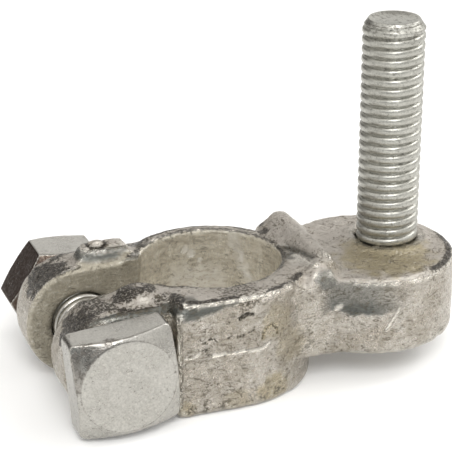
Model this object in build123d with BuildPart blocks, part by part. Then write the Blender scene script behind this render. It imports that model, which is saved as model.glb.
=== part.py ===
"""Battery terminal clamp: one casting, its pinch bolt and nut, and a threaded stud for the cable.

Frame: +Z up, the battery post's axis is the Z axis, the ring stands on Z = 0, the cable stud is
towards +X, the two clamping ears towards -X and the bolt's square head towards -Y.  Millimetres.
"""
from build123d import *
import os
from math import cos, radians, sqrt, tan

os.makedirs("parts", exist_ok=True)

# ---- battery post and ring
post_taper = 9.0                # the post's diameter grows 1 mm in this much height
bore_top_diameter = 17.6        # at the ring's top face
bore_rim_chamfer = 0.2
ring_height = 15.1
rear_wall_radius = 11.0         # thin round side of the ring
front_wall_radius = 12.65       # thick side, whose flat face is tangent to this radius
ring_edge_round = 0.8
shoulder_corner_round = 0.6

# ---- ears and slot
slot_width = 7.0
ear_outer_y = 10.3              # both ears' outer faces, from the post's axis
ear_height = 14.5
ear_end_flat = 0.5              # upright stretch between the round corners of an ear's free end
front_ear_margin = 6.3          # metal beyond the bolt's axis
rear_ear_margin = 7.2
ear_outer_round = 1.4
ear_inner_round = 0.5

# ---- pinch bolt (M8, square head) and nut
bolt_x = -15.75
bolt_z = 7.2
bolt_diameter = 7.9
bolt_hole_diameter = 8.8
bolt_length = 30.0              # under the head
bolt_end_chamfer = 0.8
head_width = 12.6
head_height = 5.0
head_flat_radius = 5.8          # circle that the head's conical chamfer leaves
head_chamfer_angle = 30.0
head_corner_round = 0.9
head_turn = 5.0                 # how far the head has turned before its corner meets the shoulder
shoulder_gap = 0.2
nut_width = 13.0
nut_height = 6.5
nut_bore_diameter = 8.04
nut_chamfer_angle = 30.0
nut_flat_share = 0.97           # diameter of the nut's flat face, as a share of its width
nut_turn = -3.4

# ---- neck, rib and cable pad
pad_x = 20.8
pad_y = -1.6
pad_radius = 11.2
pad_top = 14.1
pad_bottom = 3.8
pad_edge_round = 0.9
neck_front_inset = 2.5          # the neck's sides stand in from the pad's widest points
neck_rear_inset = 1.4
valley_round = 2.6              # concave corners where ring, neck and pad meet
rib_x = 12.4                    # crest
rib_top = 16.7
rib_front_y = -8.4
rib_crest_width = 1.2
rib_ring_foot = 2.6             # crest line to foot, on the ring's side
rib_pad_foot = 3.1              # and on the pad's side, at the rear end
rib_pad_foot_front = 1.5        # where the rib has narrowed at its front end
rib_crest_round = 1.1
rib_end_round = 1.0
rib_root = 6.0                  # how deep the rib's body starts inside the neck
rib_sink = 0.2                  # its feet start this far under the faces they rise from

# ---- lumps that the casting's gates leave on the ears
rear_lump_x = -12.2
rear_lump_length = 8.8
rear_lump_top = 16.6
front_lump_x = -11.7
front_lump_length = 6.6
front_lump_top = 15.9
lump_setback = 1.6              # from the ears' outer faces
lump_corner = 2.0
lump_least_flat = 0.2           # half of the straight stretch left between two corners
lump_root = 13.0                # how deep each lump's body starts inside its ear
lump_draft = 22.0
lump_round = 0.9
lump_round_share = 0.8          # most of a lump's half width that its rounding may take
pip_radius = 0.95               # small round pip on the rear lump
pip_height = 0.3
pip_offset_x = -0.9
pip_offset_y = -0.1

# ---- cable stud (M8, pressed in from below)
stud_x = 24.4
stud_y = 0.0
stud_diameter = 7.9
stud_top = 43.5
stud_end_chamfer = 0.7
stud_hole_diameter = 8.5
stud_head_diameter = 11.0
stud_head_height = 2.4
stud_head_chamfer = 0.4
counterbore_gap = 0.1
knurl_diameter = 8.46
knurl_length = 3.2
stud_relief_diameter = 6.7      # plain neck between the knurl and the thread, inside the hole
collar_radius = 5.3             # low raised lip round the stud's hole
collar_height = 0.45

# ---- worked out from the sizes above
overshoot = 1.0                 # how far cutters and joined bodies reach past a face
bore_bottom_diameter = bore_top_diameter + ring_height / post_taper
slot_face_y = slot_width / 2
front_ear_end_x = bolt_x - front_ear_margin
rear_ear_end_x = bolt_x - rear_ear_margin
ear_width = ear_outer_y - slot_face_y
ear_end_radius = (ear_height - ear_end_flat) / 2
lump_width = ear_width - lump_setback
lump_offset_y = slot_face_y + lump_width / 2
lump_corner_radius = min(lump_corner, lump_width / 2 - lump_least_flat)
corner_centre = (head_width / 2 - head_corner_round) * sqrt(2)
head_corner_reach = corner_centre * cos(radians(45 - head_turn)) + head_corner_round
shoulder_x = bolt_x + head_corner_reach + shoulder_gap
head_seat_y = -ear_outer_y
head_face_y = head_seat_y - head_height
bolt_end_y = head_seat_y + bolt_length
head_half_diagonal = head_width / sqrt(2)
bevel_drop = (head_half_diagonal - head_flat_radius) * tan(radians(head_chamfer_angle))
nut_corner_radius = nut_width / sqrt(3)
nut_flat_radius = nut_flat_share * nut_width / 2
nut_chamfer_drop = (nut_corner_radius - nut_flat_radius) * tan(radians(nut_chamfer_angle))
nut_seat_y = ear_outer_y
neck_front_y = pad_y - pad_radius + neck_front_inset
neck_rear_y = pad_y + pad_radius - neck_rear_inset     # the rib ends flush with it
stud_shoulder_z = pad_bottom + stud_head_height
thread_start_z = pad_top + collar_height


# ---------------------------------------------------------------- clamp body
with BuildPart() as ring:
    with BuildSketch():
        with BuildLine():
            flat_face = Line((shoulder_x, -front_wall_radius), (0, -front_wall_radius))
            front_arc = CenterArc((0, 0), front_wall_radius, -90, 90)
            side_step = Line(front_arc @ 1, (rear_wall_radius, 0))
            rear_arc = CenterArc((0, 0), rear_wall_radius, 0, 180)
            Polyline(rear_arc @ 1, (shoulder_x, 0), flat_face @ 0)
        make_face()
    extrude(amount=ring_height)
    shoulder_edge = ring.edges().filter_by(Axis.Z).sort_by(Axis.Y)[0]
    fillet(shoulder_edge, radius=shoulder_corner_round)
    rims = ring.faces().filter_by(Axis.Z).edges()
    outer_rims = [e for e in rims if abs(e.center().Y) > slot_face_y]
    fillet(outer_rims, radius=ring_edge_round)


def ear_block(end_x):
    """The front ear, from the slot's face to the bolt head's seat, with a rounded free end."""
    with BuildPart() as ear:
        with BuildSketch(Plane.XZ.offset(slot_face_y)) as ear_outline:
            with Locations((end_x / 2, ear_height / 2)):
                Rectangle(-end_x, ear_height)
            fillet(ear_outline.vertices().group_by(Axis.X)[0], radius=ear_end_radius)
        extrude(amount=ear_width)
        fillet(ear.faces().sort_by(Axis.Y)[0].edges(), radius=ear_outer_round)
        fillet(ear.faces().sort_by(Axis.Y)[-1].edges(), radius=ear_inner_round)
    return ear.part


def ear_lump(centre_x, length, top, offset_y):
    """A low drafted lump with a rounded top, rooted inside an ear."""
    with BuildPart() as lump:
        with BuildSketch(Plane.XY.offset(lump_root)):
            with Locations((centre_x, offset_y)):
                RectangleRounded(length, lump_width, lump_corner_radius)
        extrude(amount=top - lump_root, taper=lump_draft)
        top_half_width = lump_width / 2 - (top - lump_root) * tan(radians(lump_draft))
        top_round = min(lump_round, lump_round_share * top_half_width)
        fillet(lump.faces().sort_by(Axis.Z)[-1].edges(), radius=top_round)
    return lump.part


front_ear = ear_block(front_ear_end_x)
rear_ear = mirror(ear_block(rear_ear_end_x), about=Plane.XZ)
front_lump = ear_lump(front_lump_x, front_lump_length, front_lump_top, -lump_offset_y)
rear_lump = ear_lump(rear_lump_x, rear_lump_length, rear_lump_top, lump_offset_y)

with BuildPart() as neck:
    with BuildSketch(Plane.XY.offset(pad_bottom)) as neck_plan:
        Circle(front_wall_radius)
        with Locations((front_wall_radius / 2, -front_wall_radius / 2)):
            Rectangle(front_wall_radius, front_wall_radius, mode=Mode.INTERSECT)
        Circle(rear_wall_radius)
        with Locations((pad_x, pad_y)):
            Circle(pad_radius)
        with Locations((pad_x / 2, (neck_front_y + neck_rear_y) / 2)):
            Rectangle(pad_x, neck_rear_y - neck_front_y)
        corners = neck_plan.vertices().filter_by(lambda v: v.X > front_wall_radius / 2)
        side_lines = (round(neck_front_y, 3), round(neck_rear_y, 3))
        side_corners = [v for v in corners if round(v.Y, 3) in side_lines]
        fillet(side_corners, radius=valley_round)
    extrude(amount=pad_top - pad_bottom)
    rims = neck.faces().filter_by(Axis.Z).edges()
    fillet([e for e in rims if e.center().X > front_wall_radius / 2], radius=pad_edge_round)


def rib_section(pad_foot):
    """The rib's cross-section: ring foot, crest and pad foot, as points in X and Z."""
    ring_foot_x = rib_x - rib_crest_width / 2 - rib_ring_foot
    pad_foot_x = rib_x + rib_crest_width / 2 + pad_foot
    return [
        (ring_foot_x, rib_root),
        (ring_foot_x, ring_height - rib_sink),
        (rib_x - rib_crest_width / 2, rib_top),
        (rib_x + rib_crest_width / 2, rib_top),
        (pad_foot_x, pad_top - rib_sink),
        (pad_foot_x, rib_root),
    ]


with BuildPart() as rib:
    with BuildSketch(Plane.XZ.offset(-rib_front_y)):
        with BuildLine():
            Polyline(*rib_section(rib_pad_foot_front), close=True)
        make_face()
    with BuildSketch(Plane.XZ.offset(-neck_rear_y)):
        with BuildLine():
            Polyline(*rib_section(rib_pad_foot), close=True)
        make_face()
    loft(ruled=True)
    crest = rib.faces().sort_by(Axis.Z)[-1]
    fillet(crest.edges().sort_by(Axis.X)[0], radius=rib_crest_round)
    crest = rib.faces().filter_by(Axis.Z).sort_by(Axis.Z)[-1]
    fillet(crest.edges().sort_by(Axis.X)[-1], radius=rib_crest_round)
    end_edges = [e for e in rib.faces().filter_by(Axis.Y).edges() if e.center().Z > pad_top]
    fillet(end_edges, radius=rib_end_round)

with BuildPart() as clamp_body:
    add(ring.part)
    add(front_ear)
    add(rear_ear)
    add(neck.part)
    add(rib.part)
    add(front_lump)
    add(rear_lump)
    # round pip on the rear lump
    with BuildSketch(Plane.XY.offset(rear_lump_top - pip_height)):
        with Locations((rear_lump_x + pip_offset_x, lump_offset_y + pip_offset_y)):
            Circle(pip_radius)
    extrude(amount=2 * pip_height)
    # low lip round the stud's hole
    with BuildSketch(Plane.XY.offset(pad_top - overshoot)):
        with Locations((stud_x, stud_y)):
            Circle(collar_radius)
    extrude(amount=overshoot + collar_height)
    # slot between the ears, open into the bore
    with BuildSketch(Plane.XY.offset(-overshoot)):
        with Locations((rear_ear_end_x / 2 - overshoot, 0)):
            Rectangle(-rear_ear_end_x + 2 * overshoot, slot_width)
    extrude(amount=rear_lump_top + 2 * overshoot, mode=Mode.SUBTRACT)
    # tapered bore for the battery post, bevelled at the top rim
    with BuildSketch(Plane.XZ):
        with BuildLine():
            Polyline(
                (0, 0),
                (bore_bottom_diameter / 2, 0),
                (bore_top_diameter / 2, ring_height - bore_rim_chamfer),
                (bore_top_diameter / 2 + bore_rim_chamfer, ring_height),
                (0, ring_height),
                close=True,
            )
        make_face()
    revolve(axis=Axis.Z, mode=Mode.SUBTRACT)
    # bolt hole through both ears
    with BuildSketch(Plane.XZ.offset(ear_outer_y + overshoot)):
        with Locations((bolt_x, bolt_z)):
            Circle(bolt_hole_diameter / 2)
    extrude(amount=-2 * (ear_outer_y + overshoot), mode=Mode.SUBTRACT)
    # stepped hole for the pressed-in stud
    with Locations((stud_x, stud_y, pad_top + collar_height)):
        Hole(radius=stud_hole_diameter / 2, depth=2 * pad_top)
    with BuildSketch(Plane.XY.offset(pad_bottom)):
        with Locations((stud_x, stud_y)):
            Circle(stud_head_diameter / 2 + counterbore_gap)
    extrude(amount=stud_head_height, mode=Mode.SUBTRACT)
clamp_body.part.label = "clamp_body"
export_step(clamp_body.part, "parts/clamp_body.step")


# ---------------------------------------------------------------- clamp bolt
head_plane = Plane(origin=(bolt_x, head_seat_y, bolt_z), x_dir=(1, 0, 0), z_dir=(0, -1, 0))
bolt_axis = Axis((bolt_x, 0, bolt_z), (0, -1, 0))
bolt_profile_plane = Plane(origin=(bolt_x, 0, bolt_z), x_dir=(1, 0, 0), z_dir=(0, 0, 1))

with BuildPart() as head_bevel:
    with BuildSketch(bolt_profile_plane):
        with BuildLine():
            Polyline(
                (0, head_seat_y),
                (head_half_diagonal, head_seat_y),
                (head_half_diagonal, head_face_y + bevel_drop),
                (head_flat_radius, head_face_y),
                (0, head_face_y),
                close=True,
            )
        make_face()
    revolve(axis=bolt_axis)

with BuildPart() as clamp_bolt:
    with BuildSketch(head_plane):
        Rectangle(head_width, head_width, rotation=head_turn)
        fillet(vertices(), radius=head_corner_round)
    extrude(amount=head_height)
    add(head_bevel.part, mode=Mode.INTERSECT)
    with BuildSketch(bolt_profile_plane):
        with BuildLine():
            Polyline(
                (0, head_seat_y - overshoot),
                (bolt_diameter / 2, head_seat_y - overshoot),
                (bolt_diameter / 2, bolt_end_y - bolt_end_chamfer),
                (bolt_diameter / 2 - bolt_end_chamfer, bolt_end_y),
                (0, bolt_end_y),
                close=True,
            )
        make_face()
    revolve(axis=bolt_axis)
clamp_bolt.part.label = "clamp_bolt"
export_step(clamp_bolt.part, "parts/clamp_bolt.step")


# ---------------------------------------------------------------- clamp nut
nut_plane = Plane(origin=(bolt_x, nut_seat_y, bolt_z), x_dir=(-1, 0, 0), z_dir=(0, 1, 0))

with BuildPart() as nut_bevel:
    with BuildSketch(bolt_profile_plane):
        with BuildLine():
            Polyline(
                (0, nut_seat_y),
                (nut_flat_radius, nut_seat_y),
                (nut_corner_radius, nut_seat_y + nut_chamfer_drop),
                (nut_corner_radius, nut_seat_y + nut_height - nut_chamfer_drop),
                (nut_flat_radius, nut_seat_y + nut_height),
                (0, nut_seat_y + nut_height),
                close=True,
            )
        make_face()
    revolve(axis=bolt_axis)

with BuildPart() as clamp_nut:
    with BuildSketch(nut_plane):
        RegularPolygon(nut_corner_radius, 6, rotation=-nut_turn)
    extrude(amount=nut_height)
    add(nut_bevel.part, mode=Mode.INTERSECT)
    with BuildSketch(nut_plane):
        Circle(nut_bore_diameter / 2)
    extrude(amount=nut_height, mode=Mode.SUBTRACT)
clamp_nut.part.label = "clamp_nut"
export_step(clamp_nut.part, "parts/clamp_nut.step")


# ---------------------------------------------------------------- terminal stud
stud_profile_plane = Plane(origin=(stud_x, stud_y, 0), x_dir=(1, 0, 0), z_dir=(0, -1, 0))
with BuildPart() as terminal_stud:
    with BuildSketch(stud_profile_plane):
        with BuildLine():
            Polyline(
                (0, pad_bottom),
                (stud_head_diameter / 2 - stud_head_chamfer, pad_bottom),
                (stud_head_diameter / 2, pad_bottom + stud_head_chamfer),
                (stud_head_diameter / 2, stud_shoulder_z),
                (knurl_diameter / 2, stud_shoulder_z),
                (knurl_diameter / 2, stud_shoulder_z + knurl_length),
                (stud_relief_diameter / 2, stud_shoulder_z + knurl_length),
                (stud_relief_diameter / 2, thread_start_z),
                (stud_diameter / 2, thread_start_z),
                (stud_diameter / 2, stud_top - stud_end_chamfer),
                (stud_diameter / 2 - stud_end_chamfer, stud_top),
                (0, stud_top),
                close=True,
            )
        make_face()
    revolve(axis=Axis((stud_x, stud_y, 0), (0, 0, 1)))
terminal_stud.part.label = "terminal_stud"
export_step(terminal_stud.part, "parts/terminal_stud.step")
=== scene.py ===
"""Looks of the battery terminal clamp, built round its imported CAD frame.  Metres, +Z up."""
import bpy
import bmesh
import math
import numpy as np
from collections import namedtuple
from types import SimpleNamespace
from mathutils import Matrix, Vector, noise


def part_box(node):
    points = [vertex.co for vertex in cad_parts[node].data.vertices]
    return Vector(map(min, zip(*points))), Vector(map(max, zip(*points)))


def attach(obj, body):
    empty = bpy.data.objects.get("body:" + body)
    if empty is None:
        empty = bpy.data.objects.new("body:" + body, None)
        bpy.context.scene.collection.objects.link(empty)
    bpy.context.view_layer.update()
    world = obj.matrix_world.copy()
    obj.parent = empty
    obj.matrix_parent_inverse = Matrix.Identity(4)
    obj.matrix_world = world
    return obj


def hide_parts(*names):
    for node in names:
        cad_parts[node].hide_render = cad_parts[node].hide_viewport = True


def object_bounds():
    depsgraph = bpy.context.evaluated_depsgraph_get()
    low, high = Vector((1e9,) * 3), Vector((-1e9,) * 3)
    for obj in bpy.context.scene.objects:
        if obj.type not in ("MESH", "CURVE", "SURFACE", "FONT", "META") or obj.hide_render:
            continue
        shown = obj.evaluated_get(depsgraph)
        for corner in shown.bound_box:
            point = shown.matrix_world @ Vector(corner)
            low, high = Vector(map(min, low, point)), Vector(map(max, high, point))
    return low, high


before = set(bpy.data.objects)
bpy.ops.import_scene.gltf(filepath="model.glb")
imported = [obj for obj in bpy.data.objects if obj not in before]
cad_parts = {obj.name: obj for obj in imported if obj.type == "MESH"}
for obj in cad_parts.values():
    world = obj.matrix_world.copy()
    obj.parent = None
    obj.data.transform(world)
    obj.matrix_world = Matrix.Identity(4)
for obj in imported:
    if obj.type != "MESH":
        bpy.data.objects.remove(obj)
cad_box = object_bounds()
MM = 0.001

# ---- sizes shared with the CAD model
LOW_CAD = Vector(cad_box[0])
HIGH_CAD = Vector(cad_box[1])
HIGH_STUD = Vector(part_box("terminal_stud")[1])
HIGH_BOLT = Vector(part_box("clamp_bolt")[1])
LOW_NUT, HIGH_NUT = (Vector(corner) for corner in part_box("clamp_nut"))
EAR_FACE = LOW_NUT.y
HEAD_SEAT = -EAR_FACE
BOLT_X = -15.75 * MM
BOLT_Z = 7.2 * MM
STUD_X = 24.4 * MM

# ---- metric M8 thread
PITCH = 1.25 * MM
CREST_RADIUS = 3.95 * MM
ROOT_RADIUS = 3.32 * MM
AROUND = 88
ROWS_PER_PITCH = 18


# ---------------------------------------------------------------- material helpers
def new_material(name):
    """A material holding only its output and one Principled shader."""
    mat = bpy.data.materials.new(name)
    mat.use_nodes = True
    nodes = mat.node_tree.nodes
    nodes.clear()
    out = nodes.new("ShaderNodeOutputMaterial")
    shader = nodes.new("ShaderNodeBsdfPrincipled")
    mat.node_tree.links.new(shader.outputs[0], out.inputs[0])
    return mat, mat.node_tree, shader


def feed(tree, socket, value):
    """Sets a socket to a number or colour, or links another socket into it."""
    if isinstance(value, bpy.types.NodeSocket):
        tree.links.new(value, socket)
    elif isinstance(value, tuple):
        socket.default_value = (*value, 1.0)[:len(socket.default_value)]
    else:
        socket.default_value = value


def object_coords(tree):
    return tree.nodes.new("ShaderNodeTexCoord").outputs["Object"]


def stretched(tree, coords, scale):
    """Coordinates scaled differently along each axis."""
    node = tree.nodes.new("ShaderNodeMapping")
    feed(tree, node.inputs["Vector"], coords)
    node.inputs["Scale"].default_value = scale
    return node.outputs[0]


def noise_of(tree, coords, scale, detail, rough, distortion=0.0):
    """Noise at one scale, or at a scale for each axis."""
    if isinstance(scale, tuple):
        coords, scale = stretched(tree, coords, scale), 1.0
    node = tree.nodes.new("ShaderNodeTexNoise")
    feed(tree, node.inputs["Vector"], coords)
    feed(tree, node.inputs["Scale"], scale)
    feed(tree, node.inputs["Detail"], detail)
    feed(tree, node.inputs["Roughness"], rough)
    feed(tree, node.inputs["Distortion"], distortion)
    return node.outputs["Fac"]


def noises_of(tree, table):
    """A table's noises by name."""
    coords = object_coords(tree)
    return SimpleNamespace(**{name: noise_of(tree, coords, *values)
                              for name, values in table.items()})


def step_up(tree, value, low, high):
    """0 below low, 1 above high, smooth between; low may be above high to turn it round."""
    node = tree.nodes.new("ShaderNodeMapRange")
    node.interpolation_type = "SMOOTHSTEP"
    feed(tree, node.inputs["Value"], value)
    node.inputs["From Min"].default_value = min(low, high)
    node.inputs["From Max"].default_value = max(low, high)
    node.inputs["To Min"].default_value = 0.0 if low < high else 1.0
    node.inputs["To Max"].default_value = 1.0 if low < high else 0.0
    return node.outputs[0]


def maths(tree, operation, a, b=0.0):
    node = tree.nodes.new("ShaderNodeMath")
    node.operation = operation
    feed(tree, node.inputs[0], a)
    feed(tree, node.inputs[1], b)
    return node.outputs[0]


def times(tree, a, b):
    return maths(tree, "MULTIPLY", a, b)


def plus(tree, a, b):
    return maths(tree, "ADD", a, b)


def blend_of(tree, factor, a, b):
    """Colour a where the factor is 0, b where it is 1."""
    node = tree.nodes.new("ShaderNodeMix")
    node.data_type = "RGBA"    # whose sockets A, B and Result are numbered 6, 7 and 2
    feed(tree, node.inputs["Factor"], factor)
    feed(tree, node.inputs[6], a)
    feed(tree, node.inputs[7], b)
    return node.outputs[2]


def tinted(tree, base, mask, share, colour):
    """The base with a share of a colour laid over it where a mask is."""
    return blend_of(tree, times(tree, mask, share), base, colour)


def number_between(tree, factor, a, b):
    """Number a where the factor is 0, b where it is 1."""
    node = tree.nodes.new("ShaderNodeMapRange")
    feed(tree, node.inputs["Value"], factor)
    feed(tree, node.inputs["To Min"], a)
    feed(tree, node.inputs["To Max"], b)
    return node.outputs[0]


def bumped(tree, height, strength, distance):
    node = tree.nodes.new("ShaderNodeBump")
    feed(tree, node.inputs["Height"], height)
    feed(tree, node.inputs["Strength"], strength)
    feed(tree, node.inputs["Distance"], distance)
    return node.outputs[0]


def mask_of(tree, name):
    """A mask that the mesh carries as a point attribute."""
    node = tree.nodes.new("ShaderNodeAttribute")
    node.attribute_type = "GEOMETRY"
    node.attribute_name = name
    return node.outputs["Fac"]


# ---------------------------------------------------------------- materials
WARM_SILVER = (0.455, 0.416, 0.358)
PALE_SILVER = (0.560, 0.524, 0.470)
MAUVE_SKIN = (0.520, 0.482, 0.436)
# the slot's film, made darker than the bore's as painted shade
SHADED_SLOT_FILM = (0.300, 0.272, 0.208)
KHAKI_FILM = (0.670, 0.618, 0.505)
KHAKI_SHADE = (0.330, 0.292, 0.228)
KHAKI_STAIN = (0.425, 0.368, 0.250)
PALE_STROKE = (0.800, 0.755, 0.640)
STEEL_BLUE = (0.108, 0.112, 0.103)
OLIVE_MARK = (0.150, 0.130, 0.096)
# near black: pin holes, and specks in the dark patches' painted reflection and shade
NEAR_BLACK = (0.030, 0.026, 0.022)
RUBBED = (0.740, 0.715, 0.650)
TIN_RUN = (0.960, 0.935, 0.870)
ZINC_PALE = (0.490, 0.482, 0.458)
ZINC_DULL = (0.440, 0.432, 0.408)
ZINC_FRECKLE = (0.150, 0.140, 0.125)
ZINC_SCRATCH = (0.270, 0.255, 0.230)
# dark brown on the zinc parts: painted reflection and painted shade on the nut, painted shade in
# the stud's roots, painted reflection on the head's corner
DARK_BROWN = (0.042, 0.020, 0.010)

# noises: features per metre, all round or along each axis; detail; roughness; distortion
CASTING_NOISES = {
    "broad": (230.0, 3.0, 0.6, 0.0),
    "cloud": (700.0, 5.0, 0.7, 0.0),
    "tone": (1300.0, 3.0, 0.6, 0.0),
    "grain": (2600.0, 5.0, 0.75, 0.0),
    "speck": (4800.0, 3.0, 0.75, 0.0),
    "flow": ((700.0, 700.0, 2300.0), 5.0, 0.7, 0.9),
    "crease": ((480.0, 480.0, 1250.0), 2.5, 0.6, 1.1),
    "stroke": ((420.0, 420.0, 2600.0), 4.0, 0.65, 0.3),
    "drip": ((900.0, 900.0, 160.0), 4.0, 0.6, 0.5),
}
ZINC_NOISES = {
    "broad": (330.0, 3.0, 0.55, 0.0),
    "frost": (5200.0, 3.0, 0.6, 0.0),
    "freckle": (2300.0, 4.0, 0.7, 0.0),
    "streak": ((900.0, 240.0, 2600.0), 3.0, 0.6, 0.4),
}
CASTING_MASKS = ("skin", "film", "slot", "stain", "dark", "edge", "steel")
CRACK_WIDTH = 0.036
CASTING_BUMP = 0.42 * MM
SMOOTHEST_CASTING = 0.12
ZINC_BUMP = 0.08 * MM


def level_lines(tree, value, width):
    """Thin wandering lines where a noise passes through its middle level."""
    from_middle = maths(tree, "ABSOLUTE", maths(tree, "SUBTRACT", value, 0.5))
    return step_up(tree, from_middle, width, width * 0.35)


def coated_metal(tree, noises, masks, bore):
    """Mottled warm silver under skin, films and stains, the slot's film darker as painted shade,
    with strokes and drips in the bore.
    """
    base = blend_of(tree, step_up(tree, noises.broad, 0.38, 0.62), WARM_SILVER, PALE_SILVER)
    base = tinted(tree, base, step_up(tree, noises.tone, 0.52, 0.66), 0.55, KHAKI_SHADE)
    base = tinted(tree, base, masks.skin, 0.85, MAUVE_SKIN)
    share = number_between(tree, noises.cloud, 0.7, 1.0)
    base = tinted(tree, base, masks.film, share, KHAKI_FILM)
    # painted shade: darker film in the narrow slot
    base = tinted(tree, base, masks.slot, 0.85, SHADED_SLOT_FILM)
    share = number_between(tree, noises.cloud, 1.3, 0.6)
    base = tinted(tree, base, masks.stain, share, KHAKI_STAIN)
    pale_strokes = times(tree, bore, step_up(tree, noises.stroke, 0.51, 0.61))
    base = tinted(tree, base, pale_strokes, 0.5, PALE_STROKE)
    dark_strokes = times(tree, bore, step_up(tree, noises.stroke, 0.48, 0.37))
    base = tinted(tree, base, dark_strokes, 0.45, KHAKI_SHADE)
    drips = times(tree, bore, step_up(tree, noises.drip, 0.54, 0.64))
    return tinted(tree, base, drips, 0.65, PALE_STROKE)


def dark_freckles(tree, noises, masks):
    """Dark specks: sparse on open faces, crowded in dark patches, few on films and rubbed edges."""
    level = plus(tree, times(tree, noises.speck, 0.25), times(tree, noises.grain, 0.75))
    level = plus(tree, level, times(tree, masks.dark, -0.21))
    level = plus(tree, level, times(tree, maths(tree, "MAXIMUM", masks.film, masks.edge), 0.05))
    return step_up(tree, level, 0.420, 0.385)


def marked_metal(tree, base, noises, masks, bore, mottle, cracks, freckles):
    """Fine mottle, then bare spots and painted shade in blue-grey, cracks, specks, painted glints
    in the dark patches, pin holes and last the bright edges, partly wear and partly painted
    highlight.
    """
    base = tinted(tree, base, step_up(tree, mottle, 0.50, 0.38), 0.55, KHAKI_SHADE)
    base = tinted(tree, base, step_up(tree, mottle, 0.53, 0.62), 0.50, RUBBED)
    bare = times(tree, masks.steel, number_between(tree, mottle, 1.5, 0.5))
    base = blend_of(tree, maths(tree, "MINIMUM", bare, 1.0), base, STEEL_BLUE)
    base = tinted(tree, base, cracks, 0.75, OLIVE_MARK)
    speck_colour = blend_of(tree, step_up(tree, masks.dark, 0.25, 0.75), OLIVE_MARK, NEAR_BLACK)
    base = tinted(tree, base, freckles, 0.94, speck_colour)
    # painted glints: light specks in the dark patches
    sparkle = times(tree, step_up(tree, masks.dark, 0.4, 0.8),
                    step_up(tree, noises.speck, 0.54, 0.62))
    base = tinted(tree, base, sparkle, 0.75, WARM_SILVER)
    pin_holes = step_up(tree, noises.speck, 0.34, 0.28)
    base = tinted(tree, base, pin_holes, 0.55, NEAR_BLACK)
    # bright edges: partly wear, partly painted highlight
    worn_and_lit = times(tree, masks.edge, step_up(tree, mottle, 0.36, 0.46))
    return tinted(tree, base, worn_and_lit, 0.65, blend_of(tree, bore, RUBBED, TIN_RUN))


def casting_roughness(tree, noises, masks):
    """Clouded satin, duller on the skin, glossier on edges, bare spots and dark patches."""
    rough = number_between(tree, noises.cloud, 0.16, 0.40)
    changes = ((masks.skin, 0.10), (masks.edge, -0.14), (masks.steel, -0.10), (masks.dark, -0.10))
    for mask, change in changes:
        rough = plus(tree, rough, times(tree, mask, change))
    return maths(tree, "MAXIMUM", rough, SMOOTHEST_CASTING)


def casting_bumps(tree, noises, masks, mottle, cracks, freckles):
    """Fine cast grain, cracks and specks sunk in, smoother under film, on edges and bare spots."""
    relief = plus(tree, times(tree, noises.cloud, 0.8), times(tree, mottle, 0.9))
    relief = maths(tree, "SUBTRACT", relief, times(tree, cracks, 0.20))
    relief = maths(tree, "SUBTRACT", relief, times(tree, freckles, 0.10))
    relief = times(tree, relief, number_between(tree, masks.film, 1.0, 0.5))
    smooth = maths(tree, "MAXIMUM", masks.edge, times(tree, masks.steel, 0.8))
    relief = times(tree, relief, number_between(tree, smooth, 1.0, 0.30))
    return bumped(tree, relief, 1.0, CASTING_BUMP)


def tinned_casting():
    """Satin tinned casting: mottled warm silver with wandering cracks and dark specks, khaki film
    inside bore and slot, darker in the slot as painted shade, a mauve skin on upward faces, bare
    blue-grey spots, painted dark reflections and shade in dark patches, and bright edges, partly
    wear and partly painted highlight."""
    mat, tree, shader = new_material("tinned_casting")
    noises = noises_of(tree, CASTING_NOISES)
    masks = SimpleNamespace(**{name: mask_of(tree, name) for name in CASTING_MASKS})
    bore = times(tree, masks.film, number_between(tree, masks.slot, 1.0, 0.2))
    mottle = plus(tree, times(tree, noises.grain, 0.5), times(tree, noises.flow, 0.5))
    cracks = level_lines(tree, noises.crease, CRACK_WIDTH)
    cracks = times(tree, cracks, step_up(tree, noises.cloud, 0.48, 0.56))
    freckles = dark_freckles(tree, noises, masks)
    base = coated_metal(tree, noises, masks, bore)
    base = marked_metal(tree, base, noises, masks, bore, mottle, cracks, freckles)
    feed(tree, shader.inputs["Base Color"], base)
    feed(tree, shader.inputs["Metallic"], number_between(tree, masks.film, 1.0, 0.45))
    feed(tree, shader.inputs["Roughness"], casting_roughness(tree, noises, masks))
    bumps = casting_bumps(tree, noises, masks, mottle, cracks, freckles)
    feed(tree, shader.inputs["Normal"], bumps)
    return mat


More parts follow.
